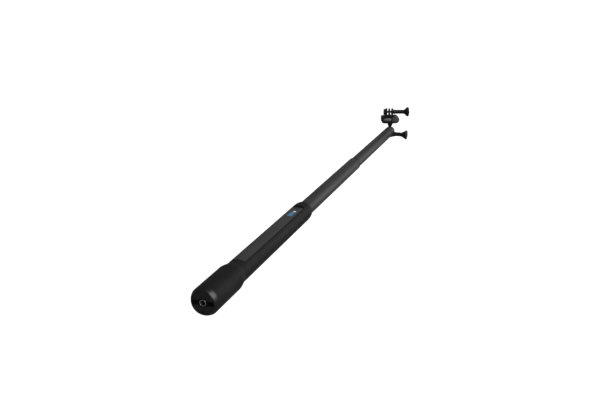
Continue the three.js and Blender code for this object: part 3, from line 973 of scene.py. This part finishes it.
def make_swivel_pad():
    """The raised lens-shaped pad on the front of the swivel; its lighter nylon is a painted highlight.
    """
    middle, half_size, bulge, skirt = (-6, 26.3), (9.4, 3.0), 1.1, 0.5
    rows, columns = 8, 48
    vertices = [(middle[0], -BLOCK_HALF_DEPTH - bulge, middle[1])]
    for i in range(1, rows + 1):
        share = i / rows
        for k in range(columns):
            angle = TAU * k / columns
            pinch = 1 - 0.25 * abs(math.cos(angle)) ** 3
            x = middle[0] + half_size[0] * share * math.cos(angle)
            z = middle[1] + half_size[1] * share * math.sin(angle) * pinch
            vertices.append((x, -BLOCK_HALF_DEPTH - bulge * (1 - share ** 2), z))
    for k in range(columns):
        x, y, z = vertices[-columns]
        vertices.append((x, y + skirt, z))
    faces = [[0, 1 + (k + 1) % columns, 1 + k] for k in range(columns)]
    for i in range(rows):
        first = 1 + i * columns
        for k in range(columns):
            n = (k + 1) % columns
            faces.append([first + k, first + n, first + n + columns, first + k + columns])
    faces.append([1 + rows * columns + k for k in range(columns)])
    return make("swivel_pad", vertices, faces, HEAD, sharp=50)


def make_camera_mount():
    """The plate, its three fingers, the nut's boss and the screw's hole."""
    base_bottom, base_top = BLOCK_TOP + 0.2, BLOCK_TOP + 1
    base_left, base_right, base_half_depth = -14, 5.4, 8
    boss_radius, boss_length = 6, 4.2
    low = (base_left, -base_half_depth, base_bottom)
    high = (base_right, base_half_depth, base_top)
    mount = block("finger_mount", low, high, HEAD)
    tip = arc((0, PIVOT_Z), (FINGER_RADIUS, FINGER_RADIUS), 0, 180, 40)
    profile = [(-FINGER_RADIUS, base_top - 0.4), (FINGER_RADIUS, base_top - 0.4)] + tip
    for place in (-1, 0, 1):
        middle = FINGER_SHIFT + place * FINGER_PITCH
        half = FINGER_THICKNESS / 2
        finger = prism("finger", profile, middle - half, middle + half, HEAD @ EXTRUDED_ALONG_X)
        carve(mount, finger, how="UNION")
    outside = FINGER_SHIFT - FINGER_PITCH - FINGER_THICKNESS / 2
    pivot = HEAD @ moved(0, 0, PIVOT_Z)
    boss = rod("boss", boss_radius, outside - boss_length, outside + 0.5, pivot @ ALONG_X)
    carve(mount, boss, how="UNION")
    carve(
        mount,
        hex_along_x("pocket", NUT_FLATS + 0.4, outside - 8, outside - 0.6, pivot),
        rod("hole", BOLT_HOLE_RADIUS, -30, 30, pivot @ ALONG_X),
    )
    return soften(mount, 0.4)


def make_lock_dial():
    """A short round knob with a knurled rim, a domed face and raised tick marks."""
    front, back = DIAL_SEAT_Y - 6.5, DIAL_SEAT_Y - 0.3
    teeth, tooth_depth = 40, 0.35
    shaft, shaft_depth = 2, 3.5
    outline = arc((0, front + 1.0), (DIAL_RADIUS - 2.2, 1.6), -90, -25, 12)
    outline[0] = (0, front - 0.6)
    outline += arc((DIAL_RADIUS - 1.5, front + 1.7), (1.5, 1.4), -60, 0, 6)
    outline += [(DIAL_RADIUS, back - 0.4), (DIAL_RADIUS - 0.3, back), (shaft, back)]
    outline += [(shaft, back - shaft_depth), (0, back - shaft_depth)]

    def knurled(angle, radius, along):
        share = max(0.0, min(1.0, (radius - (DIAL_RADIUS - 1.2)) / 1.0))
        return radius - tooth_depth * share * (0.5 + 0.5 * math.cos(teeth * angle)), along

    place = HEAD @ moved(DIAL_X, 0, DIAL_Z)
    dial = revolved("swivel_lock_dial", outline, place, 320, knurled)
    ticks = []
    tick_count, tick_step = 9, math.radians(18)
    tick_end, half_tick = 6.4, 0.22
    for k in range(tick_count):
        turn = Matrix.Rotation((k - tick_count // 2) * tick_step, 4, "Y")
        tick_start = tick_end - (2.0 if k % 4 == 0 else 1.3)
        low, high = (-half_tick, front - 0.28, tick_start), (half_tick, front + 0.5, tick_end)
        ticks.append(soften(block("tick", low, high, place @ turn), 0.08, 2))
    return dial, joined("dial_ticks", ticks)


def build_head():
    screw_place = moved(0, CLAMP_SCREW_Y, 0)
    pivot = HEAD @ moved(0, 0, PIVOT_Z)
    place_piece(make_head_clamp(), "upper_section", "nylon_black", CLAMP_NYLON, "head_clamp")
    clamp_nut = make_nut("clamp_hex_nut", -9, -5.8, screw_place)
    place_piece(clamp_nut, "upper_section", "steel", STEEL, "clamp_nut")
    build_thumb_screw(
        "clamp", "clamp_screw", screw_place, bolt_start=-9.3, start=12.8,
        length=31, barrel=5.3, waist=4.2, flare_length=10, rim_length=4.2,
    )
    build_thumb_screw(
        "camera", "camera_screw", pivot, bolt_start=-14, start=5.4,
        length=34.8, barrel=4.5, waist=4.2, flare_length=6, rim_length=6,
    )
    place_piece(make_ball_stud(), "tilt_stud", "nylon_black", NYLON, "ball_stud")
    place_piece(make_swivel_block(), "swivel_head", "nylon_black", NYLON, "swivel_block")
    # the pad's lighter nylon is a painted highlight
    place_piece(make_swivel_pad(), "swivel_head", "nylon_black", PAD_PAINTED_HIGHLIGHT_NYLON)
    place_piece(make_camera_mount(), "swivel_head", "nylon_black", NYLON, "camera_mount")
    nut_inner = FINGER_SHIFT - FINGER_PITCH - FINGER_THICKNESS / 2 - 0.9
    camera_nut = make_nut("camera_hex_nut", nut_inner - 3, nut_inner, pivot)
    place_piece(camera_nut, "swivel_head", "steel", STEEL, "camera_nut")
    dial, ticks = make_lock_dial()
    # the dial's lighter nylon is painted light
    place_piece(dial, "swivel_lock", "nylon_black", DIAL_PAINTED_LIGHT_NYLON, "lock_dial")
    place_piece(ticks, "swivel_lock", "nylon_black", PALE_NYLON)


# ---- studio, in metres ----------------------------------------------------------------------


def put_in_studio(name, data):
    obj = bpy.data.objects.new(name, data)
    bpy.context.scene.collection.objects.link(obj)
    return obj


def build_floor():
    half, depth = 95, -0.6
    mesh = bpy.data.meshes.new("studio_floor")
    mesh.from_pydata(
        [(-half, -half, depth), (half, -half, depth), (half, half, depth), (-half, half, depth)],
        [], [(0, 1, 2, 3)],
    )
    surface = Finish("studio_floor_paper", specular=0.1)
    surface.colour(surface.noise(900, detail=2), grey(0.93), grey(0.95))
    surface.shader.inputs["Roughness"].default_value = 0.9
    mesh.materials.append(surface.material)
    floor = put_in_studio("studio_floor", mesh)
    floor.visible_glossy = False


def build_lights():
    """An even pale room, a broad sun from the right and a softbox beyond the head."""
    world = bpy.data.worlds.new("studio")
    bpy.context.scene.world = world
    world.use_nodes = True
    background = world.node_tree.nodes["Background"]
    background.inputs["Color"].default_value = (1, 1, 1, 1)
    background.inputs["Strength"].default_value = 0.2

    sun = bpy.data.lights.new("soft_sun", "SUN")
    sun.energy = 5.5
    sun.angle = math.radians(45)
    towards_sun = Vector((1.0, -0.3, 0.8))
    put_in_studio("soft_sun", sun).rotation_euler = towards_sun.to_track_quat("Z", "Y").to_euler()

    box = bpy.data.lights.new("softbox_ahead", "AREA")
    box.shape = "RECTANGLE"
    box.size, box.size_y = 1.3, 2.2
    box.energy = 13
    place, target = Vector((1.9, 3.6, 0.6)), Vector((0, 0.45, 0))
    softbox = put_in_studio("softbox_ahead", box)
    softbox.location = place
    softbox.rotation_euler = (target - place).to_track_quat("-Z", "Y").to_euler()
    softbox.visible_camera = False


def build_camera():
    """The camera stands behind and above the base, a little to the right, and looks along the pole."""
    lens = bpy.data.cameras.new("camera")
    lens.lens = 48
    lens.sensor_width = 36
    lens.clip_start = 0.01
    camera = put_in_studio("camera", lens)
    camera.location = (0.36405, -0.7283, 0.37335)
    pitch_down = math.radians(17.476)
    heading = math.radians(18.988)
    camera.rotation_euler = (math.pi / 2 - pitch_down, 0, heading)
    bpy.context.scene.camera = camera


bpy.context.scene.view_settings.view_transform = "Standard"
dress_cad_nodes()
build_handle()
build_sections()
build_head()
build_floor()
build_lights()
build_camera()
